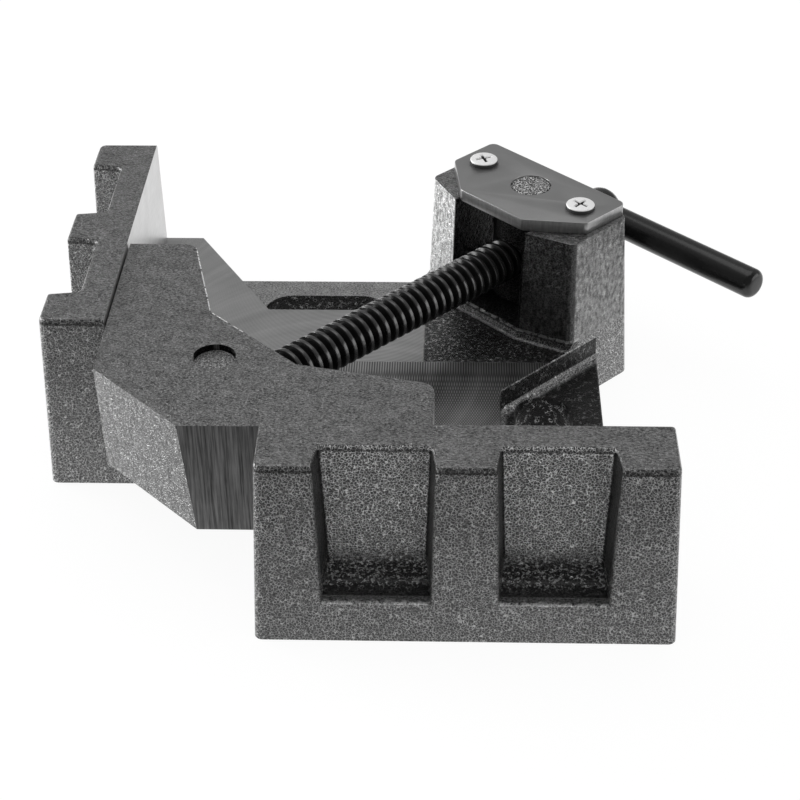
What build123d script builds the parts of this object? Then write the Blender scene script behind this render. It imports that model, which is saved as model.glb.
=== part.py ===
from build123d import *
from math import atan, degrees, radians, sqrt, tan
import os

os.makedirs("parts", exist_ok=True)

# Corner clamp, also called an angle clamp or welder's corner vice. Millimetres, +Z up.
# The inner faces of the two fixed jaws are the planes Y = 0 and X = 0. The origin is where they would
# meet, on the underside of the casting. The screw lies over the diagonal X = Y, and the clamp is the
# same on both sides of it. Places on the diagonal are given as a distance "along" it from the origin.

# Fixed jaws
JAW_LENGTH = 104.0  # length of each clamping face
JAW_THICKNESS = 18.2  # at the top
BODY_HEIGHT = 54.2  # underside to the top of the fixed jaws and of the post
FLOOR_HEIGHT = 19.0  # underside to the milled floor
CORNER_GAP = 46.7  # from the meeting point of the faces to the near end of each one
DRAFT = 2.4  # draft of the cast faces, degrees

# Cast pockets in the outer faces
POCKET_WIDTH = 31.0  # at the top, on the outer face
POCKET_NARROWING = 1.4  # each side, from the top to the bottom
POCKET_PITCH = 45.2
POCKET_DEPTH = 9.0  # at the top
POCKET_BOTTOM = 12.6  # underside to the lip
POCKET_SIDE_DRAFT = 8.0  # degrees
POCKET_BACK_RADIUS = 6.5
POCKET_CORNER_RADIUS = 1.8
JAW_EDGE_RADIUS = 2.2  # upright outer corners
JAW_TOP_RADIUS = 1.2  # round the outside of the top
POCKET_RIM_RADIUS = 0.8

# Floor and lugs
END_LEDGE = 12.1  # width of the floor at the far end of each jaw
WAIST_ACROSS = 108.5  # far face of the floor, beside each lug
WAIST_START = 37.6  # where the slanted side of the floor meets that face
LUG_HEIGHT = 10.8
LUG_REACH = 138.6  # far edge of each lug
SLOT_WIDTH = 17.0
SLOT_LENGTH = 38.5
SLOT_LINE = 121.4  # centre line of each slot
SLOT_MIDDLE = 54.25  # middle of each slot, measured from the other jaw's face
WAIST_RADIUS = 4.5  # corner of the floor beside the lug
LUG_FILLET = 3.0  # where the floor's side meets the lug
RIM = 8.0  # wall left round the cored underside
CORE_DEPTH = 9.5
RIB_WIDTH = 12.0  # rib along the diagonal, under the screw
CORE_RADIUS = 5.0

# Post
POST_FRONT = 149.0  # along, at the top
POST_SHOULDER = 154.1  # along, where the slanted front meets the side
POST_BACK = 178.0
POST_HALF_WIDTH = 29.1  # at the top
WINDOW_HALF_WIDTH = 14.0
SILL_HEIGHT = 22.2  # underside to the floor of the window
POST_EDGE_RADIUS = 2.6
POST_FOOT_RADIUS = 2.5  # where the front of the post meets the floor

# Screw, nut and handle
SCREW_HEIGHT = 36.7  # underside to the screw's axis
SCREW_DIAMETER = 13.0
NUT_ALONG = 166.8
NUT_DIAMETER = 22.0
TRUNNION_DIAMETER = 12.0
TRUNNION_DEPTH = 11.0  # of the lower trunnion
TRUNNION_RECESS = 0.2  # top of the upper trunnion below the plate's face
TRUNNION_CHAMFER = 0.5
HEAD_DIAMETER = 15.4
HEAD_LENGTH = 12.6
HEAD_END_CHAMFER = 3.0  # round the free end
HEAD_FRONT_CHAMFER = 0.7
HEAD_ALONG = 198.2  # axis of the handle bar
BAR_DIAMETER = 9.1
BAR_LENGTH = 100.0
BAR_REACH = 63.0  # from the screw's axis to the end of the bar on the right
BAR_END_CHAMFER = 1.3
JOURNAL_DIAMETER = 6.6
GROOVE_DIAMETER = 5.4
THREAD_CHAMFER = 1.0
TIP_CHAMFER = 0.5

# Cover plate and its screws
PLATE_THICKNESS = 3.8
PLATE_FRONT = 149.65
PLATE_CHAMFER = 161.5  # along, where the cut corner meets the side
PLATE_BACK = 178.7
PLATE_HALF_WIDTH = 27.4
PLATE_FRONT_HALF = 12.7
PLATE_CORNER_RADIUS = 2.2
COVER_SCREW_SPACING = 39.8
COVER_SCREW_DIAMETER = 4.0
COVER_SCREW_HEAD = 8.5
COVER_SCREW_HEAD_HEIGHT = 2.6
COVER_SCREW_CHAMFER = 1.1  # round the top of the head
COVER_SCREW_LENGTH = 14.0

# Moving jaw
MOVING_GAP = 0.45  # left between the closed jaw and the fixed faces
MOVING_TOP = 52.8  # underside of the casting to the top of the moving jaw
MOVING_REACH = 90.4  # tip of each arm
NOSE_CUT = 25.6  # start of the cut nose at the top
NOSE_LEAN = 2.9  # the nose steps back this much from top to bottom
ARM_TIP_WIDTH = 19.8
JAW_BACK = 58.1  # along, the flat back face between the arms
JAW_BACK_HALF = 18.0  # half width of that face
ARM_CORNER_RADIUS = 4.5
ARM_ROOT_RADIUS = 2.0  # where an arm meets the back face
PIN_PLACE = 31.8  # pivot pin from each fixed face
PIN_DIAMETER = 11.5
PIN_RECESS = 1.6
PIN_FLATS = 9.0  # across the flats that the washers bear on
PIN_CHAMFER = 0.4
CAVITY_HALF_WIDTH = 9.6
CAVITY_HALF_HEIGHT = 9.2
CAVITY_LENGTH = 17.0  # in front of the pin's axis
ACCESS_WALL = 1.5  # left between the pin and the access hole
WASHER_DIAMETER = 13.0
WASHER_THICKNESS = 1.4
RING_THICKNESS = 1.0
RING_DIAMETER = 11.0
RING_GAP = 4.8
TIP_LENGTH = 1.6  # of the screw's tip in front of the ring

# Clearances
SLIDE_CLEARANCE = 0.3  # moving jaw over the floor, and nut in the window
TURN_CLEARANCE = 0.05  # radial, for what turns or slides in a bore
FACE_CLEARANCE = 0.02  # each side of a washer
SCREW_HOLE_CLEARANCE = 0.25  # radial, cover screws in the plate
WASHER_CLEARANCE = 0.5  # round a washer, to the ends of the pin's flats
PAST = 1.0  # how far a cutter runs out past the face that it opens

# Worked out from the values above
slope = tan(radians(DRAFT))
lean = BODY_HEIGHT * slope
floor_lean = (BODY_HEIGHT - FLOOR_HEIGHT) * slope
jaw_end = CORNER_GAP + JAW_LENGTH
floor_end = jaw_end + floor_lean
notch = CORNER_GAP - floor_lean
spine_half = POST_HALF_WIDTH + floor_lean
spine = spine_half * sqrt(2)
under_post = POST_BACK - 2 * POST_EDGE_RADIUS
pin_along = PIN_PLACE * sqrt(2)
jaw_bottom = FLOOR_HEIGHT + SLIDE_CLEARANCE
plate_top = BODY_HEIGHT + PLATE_THICKNESS
cover_screw_places = [(NUT_ALONG, side * COVER_SCREW_SPACING / 2) for side in (-1, 1)]

# Planes of the diagonal: flat, upright along it, mirror, and square to the screw
diagonal = Plane(origin=(0, 0, 0), x_dir=(1, 1, 0), z_dir=(0, 0, 1))
upright = Plane(origin=(0, 0, 0), x_dir=(1, 1, 0), z_dir=(1, -1, 0))
mirror_plane = Plane(origin=(0, 0, 0), x_dir=(0, 0, 1), z_dir=(1, -1, 0))
screw_end_on = Plane(origin=(0, 0, SCREW_HEIGHT), x_dir=(1, -1, 0), z_dir=(1, 1, 0))


def square_to_screw(distance):
    """Plane square to the screw, at a distance along the diagonal."""
    return screw_end_on.offset(distance)


def height_plane(height):
    """Level plane at a height, with its X axis along the diagonal."""
    return diagonal.offset(height)


def along(shape):
    """Distance of a shape's centre along the diagonal."""
    return (shape.center().X + shape.center().Y) / sqrt(2)


def across(shape):
    """Distance of a shape's centre from the diagonal, positive on the front jaw's side."""
    return (shape.center().X - shape.center().Y) / sqrt(2)


def at_height(shape, height):
    """Whether a shape's centre lies at a height."""
    return abs(shape.center().Z - height) < 0.01


# Cutter for one pocket: its plan from above, crossed with its side profile
outer_y = -JAW_THICKNESS - lean
back_y = POCKET_DEPTH - JAW_THICKNESS
flare = (back_y - outer_y) * tan(radians(POCKET_SIDE_DRAFT))
narrowing = degrees(atan(POCKET_NARROWING / (BODY_HEIGHT - POCKET_BOTTOM)))
with BuildPart() as pocket:
    with BuildSketch(Plane.XY.offset(BODY_HEIGHT)):
        with BuildLine():
            half_width = POCKET_WIDTH / 2
            Polyline(
                (-half_width, outer_y),
                (half_width, outer_y),
                (half_width - flare, back_y),
                (flare - half_width, back_y),
                close=True,
            )
        make_face()
    extrude(amount=BODY_HEIGHT, both=True)
    sides = pocket.faces().sort_by(Axis.X)
    draft([sides[0], sides[-1]], Plane.XY.offset(BODY_HEIGHT), -narrowing)
    tall = pocket.edges().filter_by(lambda edge: edge.bounding_box().size.Z > BODY_HEIGHT)
    fillet(tall.sort_by(Axis.Y)[-2:], POCKET_CORNER_RADIUS)
    with BuildSketch(Plane.YZ):
        with BuildLine():
            Polyline(
                (outer_y, POCKET_BOTTOM),
                (back_y, POCKET_BOTTOM + flare),
                (back_y, 2 * BODY_HEIGHT),
                (outer_y, 2 * BODY_HEIGHT),
                close=True,
            )
        side = make_face()
        low_corners = side.vertices().filter_by(lambda corner: corner.Y < BODY_HEIGHT)
        fillet(low_corners.sort_by(Axis.X)[-1], POCKET_BACK_RADIUS)
    extrude(amount=POCKET_WIDTH, both=True, mode=Mode.INTERSECT)

# Front fixed jaw: upright clamping face, draft on the outside and on both ends, two pockets
with BuildPart() as front_jaw:
    with BuildSketch(Plane.XY.offset(BODY_HEIGHT)):
        with Locations((CORNER_GAP, 0)):
            Rectangle(JAW_LENGTH, JAW_THICKNESS, align=(Align.MIN, Align.MAX))
    extrude(amount=-BODY_HEIGHT)
    cast_sides = front_jaw.faces().filter_by(Axis.Z, reverse=True).sort_by(Axis.Y)[:-1]
    draft(cast_sides, Plane.XY.offset(BODY_HEIGHT), DRAFT)
    outer_face = front_jaw.faces().sort_by(Axis.Y)[0]
    fillet(outer_face.edges().filter_by(lambda edge: edge.bounding_box().size.Z > 1), JAW_EDGE_RADIUS)
    middle = CORNER_GAP + JAW_LENGTH / 2
    with Locations((middle - POCKET_PITCH / 2, 0), (middle + POCKET_PITCH / 2, 0)):
        add(pocket.part, mode=Mode.SUBTRACT)
    outline = front_jaw.edges().filter_by(lambda edge: at_height(edge, BODY_HEIGHT) and edge.center().Y < 0)
    fillet(outline, JAW_TOP_RADIUS)
    rims = front_jaw.edges().filter_by(
        lambda edge: edge.center().Y < -JAW_THICKNESS
        and POCKET_BOTTOM - 1 < edge.center().Z < BODY_HEIGHT - JAW_TOP_RADIUS
        and abs(edge.center().X - middle) < JAW_LENGTH / 2 - JAW_EDGE_RADIUS
    )
    fillet(rims, POCKET_RIM_RADIUS)

# Half of the floor, up to the diagonal and in under the post
with BuildPart() as half_floor:
    with BuildSketch(Plane.XY.offset(FLOOR_HEIGHT)):
        with BuildLine():
            Polyline(
                (notch, notch),
                (notch, -JAW_THICKNESS / 2),
                (floor_end, -JAW_THICKNESS / 2),
                (floor_end, END_LEDGE),
                (WAIST_ACROSS, WAIST_START),
                (WAIST_ACROSS, WAIST_ACROSS - spine),
                ((under_post + spine_half) / sqrt(2), (under_post - spine_half) / sqrt(2)),
                (under_post / sqrt(2), under_post / sqrt(2)),
                close=True,
            )
        half = make_face()
        waist = half.vertices().filter_by(lambda corner: abs(corner.X - WAIST_ACROSS) < 0.01)
        fillet(waist.sort_by(Axis.Y)[-1], WAIST_RADIUS)
    extrude(amount=-FLOOR_HEIGHT)
    cast_sides = half_floor.faces().filter_by(Axis.Z, reverse=True).filter_by(
        lambda face: abs(across(face)) > 1 and face.center().Y > 0 and along(face) < under_post
    )
    draft(cast_sides, Plane.XY.offset(FLOOR_HEIGHT), DRAFT)

# One lug, without its slot
side_run = (WAIST_START - END_LEDGE) / (floor_end - WAIST_ACROSS)
lug_near = WAIST_START - side_run * (LUG_REACH - WAIST_ACROSS)
with BuildPart() as lug:
    with BuildSketch(Plane.XY.offset(LUG_HEIGHT)):
        with BuildLine():
            Polyline(
                (WAIST_ACROSS - RIM, lug_near),
                (LUG_REACH, lug_near),
                (LUG_REACH, LUG_REACH - spine),
                (WAIST_ACROSS - RIM, WAIST_ACROSS - RIM - spine),
                close=True,
            )
        make_face()
    extrude(amount=-LUG_HEIGHT)
    draft(lug.faces().sort_by(Axis.X)[-1], Plane.XY.offset(LUG_HEIGHT), DRAFT)

# Core of one half of the underside, which leaves a rib under the diagonal
with BuildPart() as core:
    with BuildSketch(Plane.XY):
        with BuildLine():
            low = notch + RIM
            high = WAIST_ACROSS - RIM
            rib = RIB_WIDTH / sqrt(2)
            Polyline((low, RIM), (high, RIM), (high, high - rib), (low, low - rib), close=True)
        hollow = make_face()
        fillet(hollow.vertices(), CORE_RADIUS)
    extrude(amount=CORE_DEPTH)

# The forked post, with the window for the nut
with BuildPart() as post:
    with BuildSketch(height_plane(BODY_HEIGHT)):
        with BuildLine():
            Polyline(
                (POST_FRONT, -WINDOW_HALF_WIDTH),
                (POST_SHOULDER, -POST_HALF_WIDTH),
                (POST_BACK, -POST_HALF_WIDTH),
                (POST_BACK, POST_HALF_WIDTH),
                (POST_SHOULDER, POST_HALF_WIDTH),
                (POST_FRONT, WINDOW_HALF_WIDTH),
                close=True,
            )
        make_face()
    extrude(amount=-BODY_HEIGHT)
    draft(post.faces().filter_by(Axis.Z, reverse=True), height_plane(BODY_HEIGHT), DRAFT)
    upright_edges = post.edges().filter_by(lambda edge: edge.bounding_box().size.Z > BODY_HEIGHT / 2)
    fillet(upright_edges.filter_by(lambda edge: abs(across(edge)) > POST_HALF_WIDTH), POST_EDGE_RADIUS)
    with BuildSketch(height_plane(SILL_HEIGHT)):
        with Locations((POST_BACK, 0)):
            Rectangle(4 * (POST_BACK - POST_FRONT), 2 * WINDOW_HALF_WIDTH)
    extrude(amount=BODY_HEIGHT, mode=Mode.SUBTRACT)

# The casting: one half is put together and mirrored, then the post stands on the diagonal
with BuildPart() as body_casting:
    add(front_jaw.part)
    add(half_floor.part)
    add(lug.part)
    step = body_casting.edges().filter_by(
        lambda edge: at_height(edge, LUG_HEIGHT) and WAIST_ACROSS < edge.center().X < LUG_REACH - 1
    )
    fillet(step, LUG_FILLET)
    with BuildSketch(Plane.XY):
        with Locations((SLOT_LINE, SLOT_MIDDLE)):
            SlotOverall(SLOT_LENGTH, SLOT_WIDTH, rotation=90)
    extrude(amount=LUG_HEIGHT + LUG_FILLET, mode=Mode.SUBTRACT)
    add(core.part, mode=Mode.SUBTRACT)
    mirror(about=mirror_plane)
    add(post.part)
    foot = body_casting.edges().filter_by(
        lambda edge: at_height(edge, FLOOR_HEIGHT)
        and POST_FRONT - POST_FOOT_RADIUS < along(edge) < POST_SHOULDER
        and abs(across(edge)) < POST_HALF_WIDTH
    )
    fillet(foot, POST_FOOT_RADIUS)
    # Bore for the nut's lower trunnion, and the holes for the cover screws
    with BuildSketch(height_plane(SILL_HEIGHT)):
        with Locations((NUT_ALONG, 0)):
            Circle(TRUNNION_DIAMETER / 2 + TURN_CLEARANCE)
    extrude(amount=-TRUNNION_DEPTH - SLIDE_CLEARANCE, mode=Mode.SUBTRACT)
    with BuildSketch(height_plane(BODY_HEIGHT)):
        with Locations(*cover_screw_places):
            Circle(COVER_SCREW_DIAMETER / 2 + TURN_CLEARANCE)
    extrude(amount=-COVER_SCREW_LENGTH, mode=Mode.SUBTRACT)

# Steel cover plate over the post
with BuildPart() as cover_plate:
    with BuildSketch(height_plane(BODY_HEIGHT)):
        with BuildLine():
            Polyline(
                (PLATE_FRONT, -PLATE_FRONT_HALF),
                (PLATE_CHAMFER, -PLATE_HALF_WIDTH),
                (PLATE_BACK, -PLATE_HALF_WIDTH),
                (PLATE_BACK, PLATE_HALF_WIDTH),
                (PLATE_CHAMFER, PLATE_HALF_WIDTH),
                (PLATE_FRONT, PLATE_FRONT_HALF),
                close=True,
            )
        blank = make_face()
        fillet(blank.vertices(), PLATE_CORNER_RADIUS)
        with Locations((NUT_ALONG, 0)):
            Circle(TRUNNION_DIAMETER / 2 + TURN_CLEARANCE, mode=Mode.SUBTRACT)
        with Locations(*cover_screw_places):
            Circle(COVER_SCREW_DIAMETER / 2 + SCREW_HOLE_CLEARANCE, mode=Mode.SUBTRACT)
    extrude(amount=PLATE_THICKNESS)

# Two pan head screws through the plate
with BuildPart() as cover_screws:
    with BuildSketch(height_plane(plate_top - COVER_SCREW_LENGTH)):
        with Locations(*cover_screw_places):
            Circle(COVER_SCREW_DIAMETER / 2)
    extrude(amount=COVER_SCREW_LENGTH)
    with BuildSketch(height_plane(plate_top)):
        with Locations(*cover_screw_places):
            Circle(COVER_SCREW_HEAD / 2)
    extrude(amount=COVER_SCREW_HEAD_HEIGHT)
    head_edges = cover_screws.edges().filter_by(GeomType.CIRCLE).group_by(Axis.Z)
    chamfer(head_edges[-1], COVER_SCREW_CHAMFER)

# Nut that turns in the post: a turned bar with a trunnion at each end, threaded across
with BuildPart() as swivel_nut:
    nut_low = SILL_HEIGHT + SLIDE_CLEARANCE
    nut_high = BODY_HEIGHT - SLIDE_CLEARANCE
    with BuildSketch(height_plane(nut_low)):
        with Locations((NUT_ALONG, 0)):
            Circle(NUT_DIAMETER / 2)
    extrude(amount=nut_high - nut_low)
    with BuildSketch(height_plane(nut_low - TRUNNION_DEPTH)):
        with Locations((NUT_ALONG, 0)):
            Circle(TRUNNION_DIAMETER / 2)
    extrude(amount=plate_top - nut_low + TRUNNION_DEPTH - TRUNNION_RECESS)
    ends = swivel_nut.edges().filter_by(GeomType.CIRCLE).sort_by(Axis.Z)
    chamfer([ends[0], ends[-1]], TRUNNION_CHAMFER)
    with BuildSketch(square_to_screw(NUT_ALONG)):
        Circle(SCREW_DIAMETER / 2 + TURN_CLEARANCE)
    extrude(amount=NUT_DIAMETER, both=True, mode=Mode.SUBTRACT)

# Screw: tip with a ring groove, journal, shoulder, threaded length and round head
rear_flat = pin_along + PIN_FLATS / 2
front_flat = pin_along - PIN_FLATS / 2
shoulder = rear_flat + WASHER_THICKNESS + 2 * FACE_CLEARANCE
ring_back = front_flat - WASHER_THICKNESS - 2 * FACE_CLEARANCE
ring_front = ring_back - RING_THICKNESS
tip = ring_front - TIP_LENGTH
head_front = HEAD_ALONG - HEAD_LENGTH / 2
head_back = HEAD_ALONG + HEAD_LENGTH / 2
with BuildPart() as lead_screw:
    with BuildSketch(upright):
        with BuildLine():
            journal_top = SCREW_HEIGHT + JOURNAL_DIAMETER / 2
            groove_top = SCREW_HEIGHT + GROOVE_DIAMETER / 2
            thread_top = SCREW_HEIGHT + SCREW_DIAMETER / 2
            head_top = SCREW_HEIGHT + HEAD_DIAMETER / 2
            Polyline(
                (tip, SCREW_HEIGHT),
                (tip, journal_top - TIP_CHAMFER),
                (tip + TIP_CHAMFER, journal_top),
                (ring_front - FACE_CLEARANCE, journal_top),
                (ring_front - FACE_CLEARANCE, groove_top),
                (ring_back + FACE_CLEARANCE, groove_top),
                (ring_back + FACE_CLEARANCE, journal_top),
                (shoulder, journal_top),
                (shoulder, thread_top - THREAD_CHAMFER),
                (shoulder + THREAD_CHAMFER, thread_top),
                (head_front, thread_top),
                (head_front, head_top),
                (head_back, head_top),
                (head_back, SCREW_HEIGHT),
                close=True,
            )
        profile = make_face()
        corners = profile.vertices().filter_by(lambda v: v.Y > head_top - 0.01).sort_by(Axis.X)
        chamfer(corners[-1], HEAD_END_CHAMFER)
        chamfer(corners[0], HEAD_FRONT_CHAMFER)
    revolve(axis=Axis((0, 0, SCREW_HEIGHT), (1, 1, 0)))
    with BuildSketch(upright):
        with Locations((HEAD_ALONG, SCREW_HEIGHT)):
            Circle(BAR_DIAMETER / 2 + TURN_CLEARANCE)
    extrude(amount=HEAD_DIAMETER, both=True, mode=Mode.SUBTRACT)

# Plain round handle bar
with BuildPart() as tommy_bar:
    with BuildSketch(upright.offset(BAR_REACH - BAR_LENGTH)):
        with Locations((HEAD_ALONG, SCREW_HEIGHT)):
            Circle(BAR_DIAMETER / 2)
    extrude(amount=BAR_LENGTH)
    chamfer(tommy_bar.edges().filter_by(GeomType.CIRCLE), BAR_END_CHAMFER)

# Pivot pin of the moving jaw, with flats and a cross bore for the screw's journal
with BuildPart() as jaw_pivot_pin:
    pin_low = jaw_bottom + SLIDE_CLEARANCE
    with BuildSketch(height_plane(pin_low)):
        with Locations((pin_along, 0)):
            Circle(PIN_DIAMETER / 2)
    extrude(amount=MOVING_TOP - PIN_RECESS - pin_low)
    chamfer(jaw_pivot_pin.edges().filter_by(GeomType.CIRCLE), PIN_CHAMFER)
    flat_height = WASHER_DIAMETER + 2 * WASHER_CLEARANCE
    with BuildSketch(height_plane(SCREW_HEIGHT - flat_height / 2)):
        with Locations((pin_along, 0)):
            Rectangle(2 * PIN_DIAMETER, 2 * PIN_DIAMETER)
            Rectangle(PIN_FLATS, 3 * PIN_DIAMETER, mode=Mode.SUBTRACT)
    extrude(amount=flat_height, mode=Mode.SUBTRACT)
    with BuildSketch(square_to_screw(pin_along)):
        Circle(JOURNAL_DIAMETER / 2 + TURN_CLEARANCE)
    extrude(amount=PIN_DIAMETER, both=True, mode=Mode.SUBTRACT)

# Washers on both sides of the pin, and the ring on the screw's tip
with BuildPart() as thrust_washer:
    with BuildSketch(square_to_screw(rear_flat + FACE_CLEARANCE)):
        Circle(WASHER_DIAMETER / 2)
        Circle(JOURNAL_DIAMETER / 2 + TURN_CLEARANCE, mode=Mode.SUBTRACT)
    extrude(amount=WASHER_THICKNESS)

with BuildPart() as pull_washer:
    with BuildSketch(square_to_screw(front_flat - FACE_CLEARANCE - WASHER_THICKNESS)):
        Circle(WASHER_DIAMETER / 2)
        Circle(JOURNAL_DIAMETER / 2 + TURN_CLEARANCE, mode=Mode.SUBTRACT)
    extrude(amount=WASHER_THICKNESS)

with BuildPart() as retaining_ring:
    with BuildSketch(square_to_screw(ring_front)):
        Circle(RING_DIAMETER / 2)
        Circle(GROOVE_DIAMETER / 2 + TURN_CLEARANCE, mode=Mode.SUBTRACT)
        with Locations((0, -RING_DIAMETER / 2)):
            Rectangle(RING_GAP, RING_DIAMETER, mode=Mode.SUBTRACT)
    extrude(amount=RING_THICKNESS)

# Moving jaw: two arms and a leaning nose, with a cored way in for the screw
with BuildPart() as moving_jaw:
    with BuildSketch(Plane.XY.offset(jaw_bottom)):
        with BuildLine():
            back_far = (JAW_BACK + JAW_BACK_HALF) / sqrt(2)
            back_near = (JAW_BACK - JAW_BACK_HALF) / sqrt(2)
            Polyline(
                (MOVING_GAP, MOVING_GAP),
                (MOVING_REACH, MOVING_GAP),
                (MOVING_REACH, ARM_TIP_WIDTH),
                (back_far, back_near),
                (back_near, back_far),
                (ARM_TIP_WIDTH, MOVING_REACH),
                (MOVING_GAP, MOVING_REACH),
                close=True,
            )
        outline = make_face()
        tips = outline.vertices().filter_by(lambda v: max(v.X, v.Y) > MOVING_REACH - 1 and min(v.X, v.Y) > 1)
        fillet(tips, ARM_CORNER_RADIUS)
        roots = outline.vertices().filter_by(lambda v: min(v.X, v.Y) > back_near - 1)
        fillet(roots, ARM_ROOT_RADIUS)
    extrude(amount=MOVING_TOP - jaw_bottom)
    # Nose, leaning back towards the bottom
    nose_top = (NOSE_CUT + MOVING_GAP) / sqrt(2)
    nose_low = nose_top + NOSE_LEAN / sqrt(2)
    with BuildSketch(upright):
        with BuildLine():
            Polyline(
                (-nose_top, jaw_bottom),
                (nose_low, jaw_bottom),
                (nose_top, MOVING_TOP),
                (-nose_top, MOVING_TOP),
                close=True,
            )
        make_face()
    extrude(amount=NOSE_CUT, both=True, mode=Mode.SUBTRACT)
    # Way in for the screw, and the hole below that gives access to the retaining ring
    cavity_front = pin_along - CAVITY_LENGTH
    with BuildSketch(square_to_screw(cavity_front)):
        Rectangle(2 * CAVITY_HALF_WIDTH, 2 * CAVITY_HALF_HEIGHT)
    extrude(amount=JAW_BACK - cavity_front + PAST, mode=Mode.SUBTRACT)
    with BuildSketch(height_plane(jaw_bottom)):
        access_back = pin_along - PIN_DIAMETER / 2 - ACCESS_WALL
        with Locations(((cavity_front + access_back) / 2, 0)):
            Rectangle(access_back - cavity_front, 2 * CAVITY_HALF_WIDTH)
    extrude(amount=SCREW_HEIGHT - jaw_bottom, mode=Mode.SUBTRACT)
    with BuildSketch(height_plane(jaw_bottom)):
        with Locations((pin_along, 0)):
            Circle(PIN_DIAMETER / 2 + TURN_CLEARANCE)
    extrude(amount=MOVING_TOP - jaw_bottom, mode=Mode.SUBTRACT)

pieces = {
    "body_casting": body_casting,
    "cover_plate": cover_plate,
    "cover_screws": cover_screws,
    "swivel_nut": swivel_nut,
    "lead_screw": lead_screw,
    "tommy_bar": tommy_bar,
    "jaw_pivot_pin": jaw_pivot_pin,
    "thrust_washer": thrust_washer,
    "pull_washer": pull_washer,
    "retaining_ring": retaining_ring,
    "moving_jaw": moving_jaw,
}
for name, piece in pieces.items():
    piece.part.label = name
    export_step(piece.part, f"parts/{name}.step")
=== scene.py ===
from math import cos, hypot, pi, radians, sin

import bmesh
import bpy
from mathutils import Matrix, Vector


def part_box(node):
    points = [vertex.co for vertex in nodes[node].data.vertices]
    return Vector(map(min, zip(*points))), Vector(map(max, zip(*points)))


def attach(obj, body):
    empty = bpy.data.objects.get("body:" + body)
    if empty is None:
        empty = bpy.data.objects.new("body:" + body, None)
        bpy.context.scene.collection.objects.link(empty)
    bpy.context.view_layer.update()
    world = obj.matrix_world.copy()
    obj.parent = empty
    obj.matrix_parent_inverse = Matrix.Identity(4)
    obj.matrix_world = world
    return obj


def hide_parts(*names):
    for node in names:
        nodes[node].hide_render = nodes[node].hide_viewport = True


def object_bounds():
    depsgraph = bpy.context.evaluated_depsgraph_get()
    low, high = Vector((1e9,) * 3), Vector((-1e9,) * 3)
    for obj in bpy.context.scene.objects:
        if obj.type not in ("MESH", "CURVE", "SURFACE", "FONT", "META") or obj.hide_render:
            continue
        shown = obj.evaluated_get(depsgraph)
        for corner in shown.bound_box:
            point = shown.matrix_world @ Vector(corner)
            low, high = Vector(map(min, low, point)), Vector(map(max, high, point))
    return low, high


# Corner clamp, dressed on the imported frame. Metres. The screw lies over the diagonal X = Y, and
# a place on it is given as a distance "along" it from the origin and a distance "across" it.

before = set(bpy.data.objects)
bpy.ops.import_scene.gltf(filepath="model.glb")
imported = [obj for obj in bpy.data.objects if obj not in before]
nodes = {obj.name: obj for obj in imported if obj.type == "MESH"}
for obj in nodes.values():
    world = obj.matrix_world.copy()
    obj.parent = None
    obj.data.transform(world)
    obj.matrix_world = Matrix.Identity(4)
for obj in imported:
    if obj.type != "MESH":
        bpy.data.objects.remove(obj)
packed_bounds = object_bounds()
MM = 0.001
DIAGONAL = Vector((1, 1, 0)).normalized()
SIDEWAYS = Vector((1, -1, 0)).normalized()
UP = Vector((0, 0, 1))


def along(point):
    """Distance of a point along the diagonal."""
    return point.dot(DIAGONAL)


def across(point):
    """Distance of a point from the diagonal, positive on the front jaw's side."""
    return point.dot(SIDEWAYS)


# Sizes of the screw, its head and the bar that the frame doesn't show
THREAD_PITCH = 3.175 * MM
THREAD_DEPTH = 1.75 * MM
THREAD_STEPS = 40  # per turn
THREAD_END_GAP = 1.0 * MM
HEAD_EDGE_RADIUS = 4.6 * MM
HEAD_FRONT_RADIUS = 2.4 * MM
HEAD_EASED = 0.6 * MM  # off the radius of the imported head
BAR_END_RADIUS = 2.25 * MM
BORE_CLEARANCE = 0.05 * MM
ROUND_STEPS = 64  # round the head, the bar and its bore

# One pitch of the thread, as (share of the pitch, share of the depth): half of a crest, a slanted
# flank, a flat root, a flank again and the other half of a crest
THREAD_PROFILE = [(0, 1), (0.16, 1), (0.2, 0.92), (0.36, 0.14), (0.41, 0.02), (0.45, 0)]
THREAD_PROFILE += [(0.71, 0), (0.75, 0.02), (0.8, 0.14), (0.96, 0.92), (1, 1)]

# Sizes of the cover plate and its screws
PLATE_EDGE = 0.35 * MM  # rounding of the sheared edges
PLATE_EDGE_STEPS = 2
HEAD_HEIGHT = 1.7 * MM  # of a cover screw's head
HEAD_ROUNDING = 0.6 * MM
HEAD_ROUNDING_STEPS = 6
HEAD_DOME = 0.2 * MM
HEAD_STEPS = 48
HEAD_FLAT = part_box("cover_plate")[1].z + HEAD_HEIGHT - HEAD_DOME  # height of the dome's edge
SHANK_SHARE = 4.0 / 8.5  # of the head's radius
RECESS_WIDTH = 1.3 * MM  # of one arm of the cross
RECESS_SPAN = 5.8 * MM
RECESS_DEPTH = 1.4 * MM
RECESS_TAPER = 0.5  # size at the bottom, as a share of the size at the top
RECESS_TURNS = ((-1, 20), (1, 48))  # side of each cover screw, and how far its cross is turned
CUT_ABOVE = 0.1 * MM  # how far the cutter starts over the head

# Distances under which corners count as one
SAME_CORNER = 0.0001 * MM
SAME_PACKED_CORNER = 0.001 * MM
SAME_THREAD_CORNER = 0.005 * MM
NEAR = 0.01 * MM  # under which a corner counts as lying on a plane or a round surface

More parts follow.
